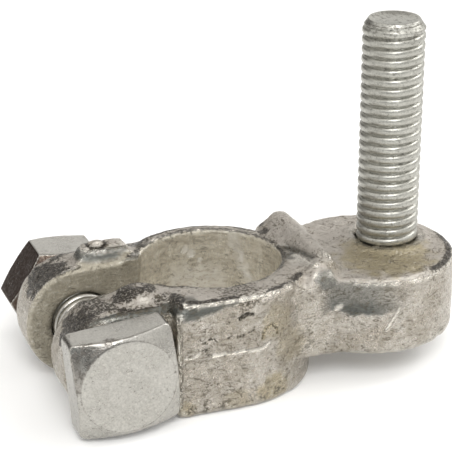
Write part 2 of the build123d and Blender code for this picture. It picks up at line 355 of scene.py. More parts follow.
def zinc_steel(name, tint, freckle_level, smoothest, roughest):
    """Satin zinc plate: faint clouding, fine frosted grain, a few handling scratches and freckles,
    and dark brown where the dark mask is strong: painted reflection and painted shade on the nut,
    painted shade in the stud's roots, painted reflection on the head's corner, darker marks on
    the stud's end and round the head's middle."""
    mat, tree, shader = new_material(name)
    noises = noises_of(tree, ZINC_NOISES)
    dark = mask_of(tree, "dark")
    pale = tuple(a * b for a, b in zip(ZINC_PALE, tint))
    dull = tuple(a * b for a, b in zip(ZINC_DULL, tint))
    base = blend_of(tree, step_up(tree, noises.broad, 0.40, 0.62), dull, pale)
    base = tinted(tree, base, step_up(tree, noises.frost, 0.56, 0.40), 0.22, ZINC_FRECKLE)
    base = tinted(tree, base, step_up(tree, noises.freckle, 0.53, 0.62), 0.20, RUBBED)
    spots = plus(tree, noises.freckle, times(tree, dark, -0.16))
    spots = step_up(tree, spots, freckle_level, freckle_level - 0.07)
    base = tinted(tree, base, spots, 0.6, ZINC_FRECKLE)
    # dark brown where the dark mask is: painted reflection and painted shade, and darker marks
    base = blend_of(tree, step_up(tree, dark, 0.35, 1.0), base, DARK_BROWN)
    scratches = step_up(tree, noises.streak, 0.345, 0.31)
    base = tinted(tree, base, scratches, 0.45, ZINC_SCRATCH)
    feed(tree, shader.inputs["Base Color"], base)
    shader.inputs["Metallic"].default_value = 1.0
    rough = number_between(tree, noises.broad, smoothest, roughest)
    feed(tree, shader.inputs["Roughness"], plus(tree, rough, times(tree, spots, 0.2)))
    relief = plus(tree, times(tree, noises.frost, 0.5), times(tree, scratches, -0.5))
    relief = plus(tree, relief, times(tree, noises.freckle, 0.5))
    feed(tree, shader.inputs["Normal"], bumped(tree, relief, 0.7, ZINC_BUMP))
    return mat


# ---------------------------------------------------------------- mesh helpers
WELD_DISTANCE = 1e-6
CUT_SLACK = 1e-7
SMOOTH_STEP, FILL_STEP = 0.5, 0.7    # share of the way to the neighbours' mean, each round


def new_piece(name, mesh, body, node, material):
    """Links a mesh as a piece that rides a body and stands for a CAD node."""
    piece = bpy.data.objects.new(name, mesh)
    bpy.context.scene.collection.objects.link(piece)
    mesh.materials.clear()
    mesh.materials.append(material)
    for polygon in mesh.polygons:
        polygon.use_smooth = True
    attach(piece, body)
    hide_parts(node)
    return piece


def cad_mesh(node):
    """A welded copy of a CAD node's mesh."""
    work = bmesh.new()
    work.from_mesh(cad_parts[node].data)
    bmesh.ops.remove_doubles(work, verts=work.verts[:], dist=WELD_DISTANCE)
    mesh = bpy.data.meshes.new(node + "_copy")
    work.to_mesh(mesh)
    work.free()
    return mesh


def remeshed(mesh, voxel):
    """A finely remeshed copy of a closed mesh."""
    holder = bpy.data.objects.new("holder", mesh)
    bpy.context.scene.collection.objects.link(holder)
    modifier = holder.modifiers.new("remesh", "REMESH")
    modifier.mode = "VOXEL"
    modifier.voxel_size = voxel
    graph = bpy.context.evaluated_depsgraph_get()
    result = bpy.data.meshes.new_from_object(holder.evaluated_get(graph))
    bpy.data.objects.remove(holder)
    return result


def points_of(mesh):
    flat = np.empty(len(mesh.vertices) * 3)
    mesh.vertices.foreach_get("co", flat)
    return flat.reshape(-1, 3)


def put_points(mesh, points):
    mesh.vertices.foreach_set("co", points.ravel())
    mesh.update()


def normals_of(mesh):
    flat = np.empty(len(mesh.vertices) * 3)
    mesh.vertices.foreach_get("normal", flat)
    return flat.reshape(-1, 3)


def neighbour_mean(points, edges, valence):
    """Each point's mean of the points, or values in columns, that it shares an edge with."""
    total = np.empty_like(points)
    for axis in range(points.shape[1]):
        total[:, axis] = (np.bincount(edges[:, 0], points[edges[:, 1], axis], len(points))
                          + np.bincount(edges[:, 1], points[edges[:, 0], axis], len(points)))
    return total / valence[:, None]


def soften(mesh, rounds, fill_rounds):
    """Smooths all over, then fills inside corners only, as metal flows into them.  Gives the mesh's
    edges and the number of them at each point."""
    edges = np.empty(len(mesh.edges) * 2, dtype=np.int64)
    mesh.edges.foreach_get("vertices", edges)
    edges = edges.reshape(-1, 2)
    valence = np.bincount(edges.ravel(), minlength=len(mesh.vertices)).astype(float)
    points = points_of(mesh)
    for _ in range(rounds):
        points += SMOOTH_STEP * (neighbour_mean(points, edges, valence) - points)
    put_points(mesh, points)
    for _ in range(fill_rounds):
        normals = normals_of(mesh)
        step = neighbour_mean(points, edges, valence) - points
        outward = np.einsum("ij,ij->i", step, normals)
        points += FILL_STEP * np.where(outward > 0, outward, 0)[:, None] * normals
        put_points(mesh, points)
    return edges, valence


def melt(mesh, edges, valence, weights, rounds):
    """Smooths where the weights are, for shapes that ran together as they were cast."""
    points = points_of(mesh)
    for _ in range(rounds):
        points += SMOOTH_STEP * weights[:, None] * (neighbour_mean(points, edges, valence) - points)
    put_points(mesh, points)


def put_mask(mesh, name, values):
    """Stores a mask, held to 0..1, where mask_of finds it."""
    attribute = mesh.attributes.new(name, "FLOAT", "POINT")
    attribute.data.foreach_set("value", np.clip(values, 0, 1).astype(np.float32))


def fade(values, low, high):
    """0 at low, 1 at high, smooth between, on arrays or numbers."""
    t = np.clip((values - low) / (high - low), 0, 1)
    return t * t * (3 - 2 * t)


def noise_at(points, size, seed):
    """Smooth noise in -1..1 whose features are about this large."""
    shift = Vector((seed * 7.13, seed * 3.71, seed * 5.39))
    return np.array([noise.noise(Vector(p) / size + shift) for p in points])


def near(points, centre, radius, ragged):
    """A soft round patch about a point, its border made uneven by some noise."""
    distance = np.linalg.norm(points - np.array(centre) * MM, axis=1) / (radius * MM)
    return 1 - fade(distance + 0.35 * ragged, 0.65, 1.15)


# ---------------------------------------------------------------- marks on the casting
# Places, sizes and depths in these tables are in mm.
# Dark patches.  On the ears' free ends and the front ear's lump they are painted dark reflection,
# where the front ear meets the block painted shade.
DARK_PATCHES = (
    # centre, radius, strength
    ((-20.6, 5.9, 13.6), 3.5, 1.0),      # rear ear, upper round of the free end: painted dark reflection
    ((-20.2, -7.6, 12.3), 3.2, 1.0),     # front ear, the same: painted dark reflection
    ((-17.4, -7.4, 14.5), 2.6, 0.60),    # front ear, top
    ((-13.6, -6.9, 15.4), 1.7, 0.9),     # front ear's lump: painted dark reflection
    ((-9.0, -9.5, 15.0), 2.0, 0.55),     # where the front ear meets the block: painted shade
    ((9.3, -1.8, 15.6), 2.2, 0.25),      # rib's side at the bore
    ((9.3, 5.2, 15.1), 1.0, 0.7),        # rib's rear end
    ((-8.2, 8.6, 15.4), 3.0, 0.6),       # ring's top next to the rear ear
    ((0.0, -10.9, 15.3), 3.0, 0.45),     # block's top
)
KHAKI_PATCHES = (
    ((21.6, -5.8, 14.2), 6.6, 1.0),      # pad's top in front of the stud
    ((4.4, -12.3, 10.8), 2.5, 0.55),     # block's flat face: right side, foot and lower left corner
    ((6.6, -11.3, 7.0), 2.5, 0.5),
    ((4.0, -12.2, 1.4), 2.6, 0.8),
    ((-1.0, -12.6, 0.8), 2.2, 0.45),
    ((-8.0, -12.4, 1.0), 1.6, 0.6),
)
# Painted highlights: glints on the rib's foot and at the foot of the front ear's lump, and a sheen
# in the valley between block and pad.
PAINTED_HIGHLIGHTS = (
    ((9.5, -5.6, 15.2), 1.2, 0.6),       # rib's foot
    ((-11.6, -8.8, 14.7), 0.8, 0.6),     # foot of the front ear's lump
    ((9.8, -10.3, 9.5), 2.8, 0.30),      # valley between block and pad
    ((10.0, -10.3, 6.0), 2.0, 0.30),
)
BARE_PATCHES = (
    ((-7.5, -11.2, 14.6), 1.8, 0.7),     # block's upper left corner
    ((11.6, -9.9, 14.2), 1.5, 0.8),      # rib's front end
    ((9.3, -3.4, 15.1), 1.3, 0.8),       # rib's foot
)
BORE_FLECKS = (
    ((-0.24, 8.96, 12.48), 0.55, 1.0),
    ((0.60, 8.99, 11.76), 0.65, 1.0),
    ((1.80, 8.87, 10.77), 0.35, 1.0),
)
CHIP = (
    # start x and z, end x and z, half width
    ((-0.9, 12.3), (0.1, 12.75), 0.32),
    ((0.1, 12.75), (0.9, 12.5), 0.28),
)
ARCH = (
    ((2.2, 8.9), (2.4, 10.1), 0.3),
    ((2.4, 10.1), (3.3, 10.6), 0.3),
    ((3.3, 10.6), (4.1, 10.2), 0.3),
    ((4.1, 10.2), (4.3, 9.1), 0.3),
)
DENT = ((-5.4, 8.9), (-4.8, 8.2), 0.38)
PAD_SCRATCH = ((20.2, 10.0), (18.6, 7.3), 0.28)
PAD_FLECK = ((12.8, 10.3), (13.3, 10.5), 0.45)
# a painted highlight along the block's top front edge
BLOCK_EDGE_HIGHLIGHT = ((-7.6, 14.72), (4.4, 14.72), 0.26)
CHIP_DEPTH, ARCH_DEPTH, DENT_DEPTH = 0.16, 0.10, 0.12
# corners of lines across the block's flat face, x and z
CRACK = ((-6.0, 10.3), (-5.2, 9.7), (-4.6, 10.3), (-3.6, 9.7), (-2.0, 10.1), (-0.4, 10.0),
         (0.8, 10.5))
FLASH = ((-4.4, 7.95), (-3.2, 8.0), (-1.8, 7.85), (-0.4, 7.95), (1.0, 7.75), (2.2, 7.8), (3.1, 8.3))
FLASH_LEFT = ((-7.9, 8.25), (-7.2, 8.1), (-6.6, 8.25), (-6.1, 8.6))
CRACK_HALF_WIDTH, FLASH_HALF_WIDTH = 0.22, 0.26
LEDGE_HEIGHT = 7.85
PIT_RADIUS = 0.33                              # of a gas hole, as a share of its cell
PIP_X, PIP_Y, PIP_RADIUS = -13.1, 6.0, 1.25    # pip on the rear ear's lump, and the groove round it
FRONT_PART = -8 * MM                           # the front's marks and burr lie before this y

# The casting's points with their normals, how sharply convex it is there, a noise that makes
# borders uneven, and its edges with the number of them at each point.
Surface = namedtuple("Surface", "points normals curvature ragged edges valence")


def highest(*masks):
    """The strongest of several masks at each point."""
    return np.max(masks, axis=0)


def patches(points, table, ragged):
    """The strongest of a table's soft round patches."""
    return highest(*(strength * near(points, centre, radius, ragged)
                     for centre, radius, strength in table))


def stripe(points, start, end, half_width):
    """1 on a straight mark across the front, between two x and z in mm, fading off its sides."""
    x, z = points[:, 0] / MM, points[:, 2] / MM
    run = np.array(end) - np.array(start)
    share = np.clip(((x - start[0]) * run[0] + (z - start[1]) * run[1]) / (run @ run), 0, 1)
    away = np.hypot(x - start[0] - share * run[0], z - start[1] - share * run[1])
    return (1 - fade(away, half_width * 0.5, half_width)) * (points[:, 1] < FRONT_PART)


def path_of(points, corners, half_width):
    """1 on a line through corners given in mm on the front, fading off its sides."""
    return highest(*(stripe(points, start, end, half_width)
                     for start, end in zip(corners[:-1], corners[1:])))


def flash_line(points):
    """The thin raised line where the mould's halves met."""
    left_part = 0.8 * path_of(points, FLASH_LEFT, FLASH_HALF_WIDTH)
    return np.maximum(path_of(points, FLASH, FLASH_HALF_WIDTH), left_part)


def ledge(points):
    """Depth, 0 to 1, of the shallow hollow above a crisp ledge across the block's flat face."""
    x, z = points[:, 0] / MM, points[:, 2] / MM
    foot = LEDGE_HEIGHT + 0.16 * np.sin(x * 1.3) + 0.08 * np.sin(x * 4.1)
    hollow = fade(z, foot - 0.15, foot + 0.15) * (1 - fade(z, foot + 0.4, foot + 2.2))
    right_part = fade(x, -4.9, -4.2) * (1 - fade(x, 2.7, 3.1))
    left_part = 0.7 * fade(x, -8.3, -7.8) * (1 - fade(x, -6.5, -6.0))
    return hollow * (right_part + left_part) * (points[:, 1] < -11.5 * MM)


def small_marks(points):
    """Depths, in mm, of a chipped hollow, an arch and a dent on the block's flat face."""
    chip = sum(stripe(points, *stroke) for stroke in CHIP)
    arch = sum(stripe(points, *stroke) for stroke in ARCH)
    return (CHIP_DEPTH * np.clip(chip, 0, 1), ARCH_DEPTH * np.clip(arch, 0, 1),
            DENT_DEPTH * stripe(points, *DENT))


def ring_round_pip(points, width):
    """1 on the groove round the pip, fading off within about this width in mm."""
    from_pip = np.hypot(points[:, 0] - PIP_X * MM, points[:, 1] - PIP_Y * MM) / MM
    return np.exp(-((from_pip - PIP_RADIUS) / width) ** 2) * (points[:, 2] > 15.5 * MM)


def bore_marks(points, ragged):
    """A pale run down the bore's wall where tin flowed off, a paler foot and a few flecks."""
    height = points[:, 2] / MM
    azimuth = np.degrees(np.arctan2(points[:, 1], points[:, 0]))
    off = np.abs(azimuth - 50.6 + 2.3 * (14.5 - height)) + 5.0 * ragged
    broken = 0.50 + 0.50 * fade(noise_at(points, 0.7 * MM, seed=14), -0.3, 0.3)
    run = (1 - fade(off, 0.0, 8.5)) * fade(height, 5.0, 8.0) * broken
    foot = (1 - fade(height + 0.6 * ragged, 8.8, 11.0)) * fade(azimuth, 54, 62)
    foot = foot * (1 - fade(azimuth, 98, 112))
    return highest(run, 0.60 * foot * broken, patches(points, BORE_FLECKS, 0))


def rib_foot(points, ragged):
    """Along the rib's foot beside the bore: a groove, painted dark and blue-grey as shade in the
    crease, and below it a bright run painted as a highlight.
    """
    x, y, z = (points / MM).T
    top = fade(z, 14.2, 14.8)
    groove = np.exp(-((x - 9.66 + 0.17 * y + 0.12 * ragged) / 0.38) ** 2) * top
    groove = groove * fade(y, -7.4, -6.4) * (1 - fade(y, -0.8, 0.4))
    run = np.exp(-((x - 9.0 + 0.20 * y + 0.20 * ragged) / 0.30) ** 2) * top
    run = run * fade(y, -9.2, -8.4) * (1 - fade(y, -3.9, -3.0))
    return groove * (1 - run), run


def bare_spots(points, ragged):
    """Smooth blue-grey spots: under the block's top edge, across the pad's front and on the rib."""
    x, z = points[:, 0] / MM, points[:, 2] / MM
    front = points[:, 1] < -9.5 * MM
    depth = 2.0 * (1 - fade(x, -8.5, 2.5)) + 0.5 * ragged
    band = fade(z, 14.6 - depth, 15.1 - depth * 0.8) * (1 - fade(z, 14.5, 15.0))
    band = band * (1 - fade(x, 1.5, 4.0))
    floor_of = 9.3 + 0.7 * fade(x, 14.5, 11.5) + 0.8 * fade(x, 17.5, 21.0) + 0.35 * ragged
    pad = fade(x, 10.2, 12.6) * (1 - fade(x, 16.0, 23.0))
    pad = pad * fade(z, floor_of - 0.25, floor_of + 0.35)
    pad = pad * (1 - 0.30 * fade(z, floor_of + 0.9, floor_of + 2.6))
    pad = pad * (1 - fade(z, 13.5, 14.0))
    return np.clip(highest(band * front, pad * front, patches(points, BARE_PATCHES, ragged)), 0, 1)


def pits(points, size, seed, share):
    """Depth, 0 to 1, of scattered round gas holes about this large; share of the cells has one."""
    depth = np.zeros(len(points))
    shift = Vector((seed * 2.31, seed * 9.17, seed * 4.73))
    for index, point in enumerate(points):
        distances, centres = noise.voronoi(Vector(point) / size + shift)
        if distances[0] < PIT_RADIUS and noise.cell(centres[0] * 13.7) < share * 2 - 1:
            depth[index] = 1 - (distances[0] / PIT_RADIUS) ** 2
    return depth


# ---------------------------------------------------------------- the casting's masks
# between which radii, heights and distances from the middle the films fade off
BORE_WALL = (10.2 * MM, 10.8 * MM)
BORE_MOUTH = (14.9 * MM, 15.2 * MM)
SLOT_FACES = (4.4 * MM, 5.0 * MM)


def film_masks(points, normals):
    """Where the film is on the bore's wall, and where it is on the slot's two faces."""
    x, y, z = points.T
    radial = np.hypot(x, y)
    inward = -(x * normals[:, 0] + y * normals[:, 1]) / np.maximum(radial, MM)
    in_bore = (1 - fade(radial, *BORE_WALL)) * fade(inward, 0.15, 0.5)
    in_bore = in_bore * (1 - fade(z, *BORE_MOUTH))
    facing_slot = -np.sign(y) * normals[:, 1]
    in_slot = (1 - fade(np.abs(y), *SLOT_FACES)) * fade(facing_slot, 0.08, 0.35) * (x < -6 * MM)
    return in_bore, in_slot


def stain_mask(points, normals, ragged):
    """Khaki stain: on the pad where it faces up, and on the block."""
    on_pad = fade(normals[:, 2], 0.5, 0.9) * fade(points[:, 0], 14.0 * MM, 16.0 * MM)
    on_block = points[:, 0] < 10.0 * MM
    return patches(points, KHAKI_PATCHES, 0.9 * ragged) * (on_pad + on_block)


def lump_side_mask(points, normals):
    """The sides of the rear ear's lump, painted darker and blue-grey as shade."""
    side = fade(points[:, 2], 14.4 * MM, 14.9 * MM) * (points[:, 0] < -7.4 * MM)
    return side * (1 - fade(normals[:, 2], 0.45, 0.80)) * (normals[:, 0] < 0.5) * (points[:, 1] > 0)


def rim_dirt(surface):
    """Dirt along the rims of top faces, thinner on the ears, none beside the rib or at the stud."""
    points, facing_up = surface.points, surface.normals[:, 2]
    x = points[:, 0]
    from_stud = np.hypot(x - STUD_X, points[:, 1])
    rim = fade(surface.curvature, 0.002, 0.010) * fade(facing_up, 0.70, 0.82)
    rim = rim * (1 - fade(facing_up, 0.985, 0.998))
    rim = rim * (points[:, 2] < 15.9 * MM) * (from_stud > 7 * MM)
    rim = rim * (1 - fade(x, 9.0 * MM, 11.0 * MM) + fade(x, 24.0 * MM, 26.5 * MM))
    rim = rim * (0.45 + 0.55 * fade(x, -10.0 * MM, -8.5 * MM))
    for _ in range(3):
        rim = neighbour_mean(rim[:, None], surface.edges, surface.valence)[:, 0]
    fuzzy = fade(noise_at(points, 3.0 * MM, seed=12), -0.75, -0.15)
    fuzzy = fuzzy * fade(surface.ragged, -0.9, -0.2)
    return 1.8 * rim * fuzzy


def darker_foot(points, ragged):
    """Uneven darkening low on the front."""
    low = (1 - fade(points[:, 2], 0.6 * MM, 3.2 * MM)) * (points[:, 1] < -6 * MM)
    return 0.38 * low * fade(ragged, -0.3, 0.4)


def worn_and_lit_edges(surface, dirt_shade_and_reflection, film, in_slot, patchy):
    """Convex edges made bright, partly as wear and partly as painted highlight, where no dirt,
    painted shade or painted reflection covers them, and a thin painted highlight along the lip by
    the slot.
    """
    edge = fade(surface.curvature, 0.026, 0.060) * patchy
    edge = edge * (1 - 0.9 * dirt_shade_and_reflection) * (1 - 0.5 * film - 0.4 * in_slot)
    lip = 4 * in_slot * (1 - in_slot) * fade(surface.normals[:, 2], 0.1, 0.5) * patchy
    return np.maximum(edge, 0.9 * lip)


def casting_masks(surface):
    """Where the dull skin, the films, stains, dark patches with their painted reflection and shade,
    bright edges with their painted highlights, and bare spots are.
    """
    points, normals, ragged = surface.points, surface.normals, surface.ragged
    in_bore, in_slot = film_masks(points, normals)
    film = np.maximum(in_bore, in_slot)
    shaded_lump_side = lump_side_mask(points, normals)
    chip, arch, dent = small_marks(points)
    groove, run = rib_foot(points, ragged)
    patchy = 0.35 + 0.65 * fade(noise_at(points, 0.45 * MM, seed=15), -0.35, 0.20)
    flash_and_highlight = np.maximum(flash_line(points), stripe(points, *BLOCK_EDGE_HIGHLIGHT) * patchy)
    scratch = np.maximum(stripe(points, *PAD_SCRATCH), 0.7 * stripe(points, *PAD_FLECK))
    # dark: rim dirt, a darker foot, the dark patches' painted reflection and shade, painted shade
    # on the lump's sides, in the groove round the pip and in the rib's foot groove, and dark marks
    dirt_shade_and_reflection = highest(patches(points, DARK_PATCHES, ragged) * (1 - in_slot), darker_foot(points, ragged),
                   0.22 * shaded_lump_side, ring_round_pip(points, 0.22), rim_dirt(surface))
    dark = highest(dirt_shade_and_reflection, 5.0 * chip + 4.0 * dent, 3.2 * arch,
                   0.55 * path_of(points, CRACK, CRACK_HALF_WIDTH), 0.45 * groove)
    # bright: edges, partly wear and partly painted highlight, the painted highlights along the
    # block's edge, on the rib's foot and of the bright patches, the flash line, scratches and bore
    # marks
    edge = highest(worn_and_lit_edges(surface, dirt_shade_and_reflection, film, in_slot, patchy), scratch, flash_and_highlight, run,
                   bore_marks(points, ragged) * in_bore, patches(points, PAINTED_HIGHLIGHTS, ragged))
    # blue-grey: bare spots, and painted shade on the lump's sides and in the rib's foot groove
    steel = highest(bare_spots(points, ragged) * (1 - scratch), 0.95 * shaded_lump_side, 0.9 * groove)
    return {
        "skin": fade(normals[:, 2], 0.45, 0.85) * (1 - film),
        "film": film,
        "slot": in_slot,
        "stain": np.maximum(stain_mask(points, normals, ragged), 9.0 * arch),
        "dark": dark * (1 - flash_and_highlight) * (1 - run),
        "edge": edge,
        "steel": steel * (1 - flash_and_highlight) * (1 - run),
    }


# ---------------------------------------------------------------- the casting
CASTING_VOXEL = 0.25 * MM
MELT_ROUNDS, FRONT_LUMP_ROUNDS = 14, 60
RIB_END = (11.8, -8.2, 15.4)
RIB_RISE = 1.25 * MM
STUD_GRIP, STUD_GAP = 3.60 * MM, 0.65 * MM    # the hole's rim, and the step out on its open side
BOLT_HOLE_RADIUS = 4.12 * MM


def casting_relief(points, normals, masks):
    """How far each point stands off the smooth casting, in metres, from depths in mm; nearly all
    of it inward."""
    smooth = (1 - 0.75 * masks["film"]) * (1 - 0.6 * masks["steel"])
    sag = noise_at(points, 4.5 * MM, seed=1) * 0.06
    lumps = noise_at(points, 1.6 * MM, seed=2) * 0.045 * smooth
    orange_peel = noise_at(points, 0.8 * MM, seed=3) * (0.030 + 0.025 * masks["skin"]) * smooth
    holes = pits(points, 2.6 * MM, seed=4, share=0.35) * 0.16 * smooth
    small_holes = pits(points, 1.3 * MM, seed=5, share=0.35) * 0.09 * smooth
    step = ledge(points) * 0.07 - flash_line(points) * 0.13 + rib_foot(points, 0)[0] * 0.16
    foot = (1 - fade(points[:, 2], 0.2 * MM, 1.4 * MM)) * (np.abs(normals[:, 2]) < 0.8)
    burr = 0.22 * np.clip(noise_at(points, 1.3 * MM, seed=6), 0.15, 1)
    burr = burr * foot * (points[:, 1] < FRONT_PART)
    marks = sum(small_marks(points))
    groove = 0.18 * ring_round_pip(points, 0.25)
    return (sag - 0.05 + lumps + orange_peel - holes - small_holes - step - marks - groove
            + burr) * MM


def fill_rib_end(points):
    """Carries the rib's front end forward into a bevel that runs out on the front face."""
    x, y, z = (points / MM).T
    across = fade(x, 9.0, 10.4) * (1 - fade(x, 12.2, 13.4))
    forward = fade(y, -10.6, -9.0) * (1 - fade(y, -8.3, -7.6))
    upper = fade(z, 12.6, 14.0) * (1 - fade(z, 14.6, 16.2))
    points[:, 2] += RIB_RISE * across * forward * upper


def close_round_stud(points):
    """Draws the rim of the stud's hole in to the thread, but for a gap left open on one side."""
    x, y = points[:, 0] - STUD_X, points[:, 1]
    across = np.hypot(x, y)
    rim = (across > 3.9 * MM) & (across < 5.0 * MM) & (points[:, 2] > 13.2 * MM)
    open_side = np.exp(-((np.abs(np.arctan2(y, x)) - 2.75) / 0.42) ** 2)
    target = np.where(across < 4.6 * MM, STUD_GRIP + open_side * STUD_GAP, across)
    scale = np.where(rim, target / np.maximum(across, MM), 1)
    points[:, 0] = STUD_X + x * scale
    points[:, 1] = y * scale


def keep_clear_of_hardware(points):
    """Brings points under the head's and nut's seats back to the ears' faces, and keeps the bolt's
    hole open at one radius."""
    across = np.hypot(points[:, 0] - BOLT_X, points[:, 2] - BOLT_Z)
    under = (across < 9.6 * MM) & (np.abs(points[:, 1]) < EAR_FACE + 0.6 * MM)
    limit = EAR_FACE - 0.02 * MM
    outside = under & (np.abs(points[:, 1]) > limit) & (points[:, 0] < -8.8 * MM)
    points[outside, 1] = np.sign(points[outside, 1]) * limit
    in_hole = (across < 4.7 * MM) & (np.abs(points[:, 1]) < EAR_FACE)
    scale = BOLT_HOLE_RADIUS / np.maximum(across[in_hole], MM)
    points[in_hole, 0] = BOLT_X + (points[in_hole, 0] - BOLT_X) * scale
    points[in_hole, 2] = BOLT_Z + (points[in_hole, 2] - BOLT_Z) * scale


def melt_casting(mesh, edges, valence):
    """Fills in the rib's end, and runs it, the lumps and the stud's collar into their base."""
    points = points_of(mesh)
    lumps = fade(points[:, 2], 13.6 * MM, 14.4 * MM)
    lumps = lumps * (1 - fade(points[:, 0], -7.0 * MM, -6.0 * MM))
    rib_end = near(points, RIB_END, 3.0, 0)
    collar = near(points, (STUD_X / MM, 0, 14.4), 6.6, 0)
    fill_rib_end(points)
    put_points(mesh, points)
    melt(mesh, edges, valence, highest(lumps, rib_end, collar), MELT_ROUNDS)
    melt(mesh, edges, valence, lumps * (points[:, 1] < 0), FRONT_LUMP_ROUNDS)


def surface_of(mesh, edges, valence):
    """Measures the casting's surface for its masks and relief."""
    points, normals = points_of(mesh), normals_of(mesh)
    hollow = np.einsum("ij,ij->i", neighbour_mean(points, edges, valence) - points, normals)
    curvature = -hollow / CASTING_VOXEL
    for _ in range(2):
        curvature = neighbour_mean(curvature[:, None], edges, valence)[:, 0]
    return Surface(points, normals, curvature, noise_at(points, 1.1 * MM, seed=9), edges, valence)


def make_casting(material):
    mesh = remeshed(cad_mesh("clamp_body"), CASTING_VOXEL)
    edges, valence = soften(mesh, rounds=1, fill_rounds=12)
    melt_casting(mesh, edges, valence)
    surface = surface_of(mesh, edges, valence)
    masks = casting_masks(surface)
    relief = casting_relief(surface.points, surface.normals, masks)
    points = surface.points + relief[:, None] * surface.normals
    close_round_stud(points)
    keep_clear_of_hardware(points)
    points[:] = np.clip(points, np.array(LOW_CAD), np.array(HIGH_CAD))
    put_points(mesh, points)
    for name, values in masks.items():
        put_mask(mesh, name, values)
    return new_piece("casting", mesh, "clamp", "clamp_body", material)


# ---------------------------------------------------------------- threads
CAP_SHARES = (0.94, 0.84, 0.45)    # of a rod's end: its rings' radii, as shares of the rod's
CAP_FALL = (0.15, 0.85, 1.0)       # and how far each is down into the dish


def thread_radius(height, share):
    """Radius of the worn rolled thread, round ridges between narrow roots, at a height and at a
    share of a turn."""
    across = 2 * np.mod(height / PITCH - share, 1.0) - 1
    ridge = np.sqrt(np.maximum(1 - np.abs(across) ** 2.5, 0))
    return ROOT_RADIUS + (CREST_RADIUS - ROOT_RADIUS) * ridge


def threaded_rod(length, plain_length, plain_radius, end_radius, end_length, dish):
    """Rings of points for a rod along +Z from the origin: a plain stretch, thread, and a coned,
    dished end; with the heights of the middles of its two ends."""
    rows = int(length / PITCH * ROWS_PER_PITCH) + 1
    height, share = np.meshgrid(np.linspace(0, length, rows), np.arange(AROUND) / AROUND,
                                indexing="ij")
    threaded = fade(height, plain_length, plain_length + 0.6 * PITCH)
    radius = plain_radius * (1 - threaded) + thread_radius(height, share) * threaded
    cone = end_radius + (length - height) * (CREST_RADIUS - end_radius) / end_length
    radius = np.minimum(radius, cone)
    cap = np.array(CAP_SHARES)[:, None] * np.ones(AROUND)
    fall = np.array(CAP_FALL)[:, None] * np.ones(AROUND)
    radius = np.concatenate((cap[::-1] * radius[0], radius, cap * radius[-1]))
    height = np.concatenate((np.zeros_like(cap), height, length - dish * fall))
    angle = 2 * math.pi * np.arange(AROUND) / AROUND
    points = np.stack((radius * np.cos(angle), radius * np.sin(angle), height), axis=-1)
    return points.reshape(-1, 3), height[0, 0], height[-1, 0]


def rod_mesh(name, points, low_height, high_height, to_world):
    """Faces for a rod's rings, closed by a fan at each end, and moved by a function of points."""
    rings = len(points) // AROUND
    row, column = np.meshgrid(np.arange(rings - 1), np.arange(AROUND), indexing="ij")
    here, beside = row * AROUND + column, row * AROUND + (column + 1) % AROUND
    quads = np.stack((here, beside, beside + AROUND, here + AROUND), axis=-1).reshape(-1, 4)
    ends = np.array(((0, 0, low_height), (0, 0, high_height)))
    low, high = len(points), len(points) + 1
    last = (rings - 1) * AROUND
    fans = [(low, (i + 1) % AROUND, i) for i in range(AROUND)]
    fans += [(high, last + i, last + (i + 1) % AROUND) for i in range(AROUND)]
    mesh = bpy.data.meshes.new(name)
    mesh.from_pydata(to_world(np.concatenate((points, ends))).tolist(), [], quads.tolist() + fans)
    mesh.update()
    return mesh


def cut_off(mesh, place, direction):
    """Keeps the part of a closed mesh behind a plane and closes the cut."""
    work = bmesh.new()
    work.from_mesh(mesh)
    everything = work.verts[:] + work.edges[:] + work.faces[:]
    cut = bmesh.ops.bisect_plane(work, geom=everything, dist=CUT_SLACK, plane_co=place,
                                 plane_no=direction, clear_outer=True)
    rim = [item for item in cut["geom_cut"] if isinstance(item, bmesh.types.BMEdge)]
    bmesh.ops.holes_fill(work, edges=rim)
    work.to_mesh(mesh)
    work.free()
    return mesh


def joined(name, meshes):
    """One mesh holding copies of several."""
    work = bmesh.new()
    for mesh in meshes:
        work.from_mesh(mesh)
    result = bpy.data.meshes.new(name)
    work.to_mesh(result)
    work.free()
    return result


# ---------------------------------------------------------------- stud, bolt and nut
HARDWARE_VOXEL = 0.16 * MM
STUD_SPLIT = 13.3 * MM
BOLT_SPLIT = HEAD_SEAT + 0.9 * MM
GROOVE_DEPTH, COUNTERSINK = 0.38, 0.5    # cut outward from the nut's plain bore, in mm
DARK_REFLECTION_FACET = (-0.87, 0.0, 0.5)          # the way the nut's facet with the painted dark reflection faces


def stud_shade_and_marks(points):
    """Painted shade in the thread's roots; darker on the threads next to the end, in a ring in the
    end's dish, in a ring round its rim and on the end itself.
    """
    across = np.hypot(points[:, 0] - STUD_X, points[:, 1])
    below_end = (HIGH_STUD.z - points[:, 2]) / MM
    # painted shade in the roots, where the crests hide them
    in_roots = 1 - fade(across, ROOT_RADIUS + 0.08 * MM, ROOT_RADIUS + 0.36 * MM)
    roots = 0.34 * in_roots * (below_end > 1)
    last_threads = 0.42 * (1 - fade(below_end, 1.6, 3.4)) * (below_end > 0.3)
    dish = 0.55 * np.exp(-((across / MM - 2.85) / 0.14) ** 2) * (below_end < 0.4)
    rim = 0.65 * np.exp(-((below_end - 0.40) / 0.12) ** 2) * (across > 3 * MM)
    return highest(roots, last_threads, dish, rim, 0.30 * (below_end < 0.4))


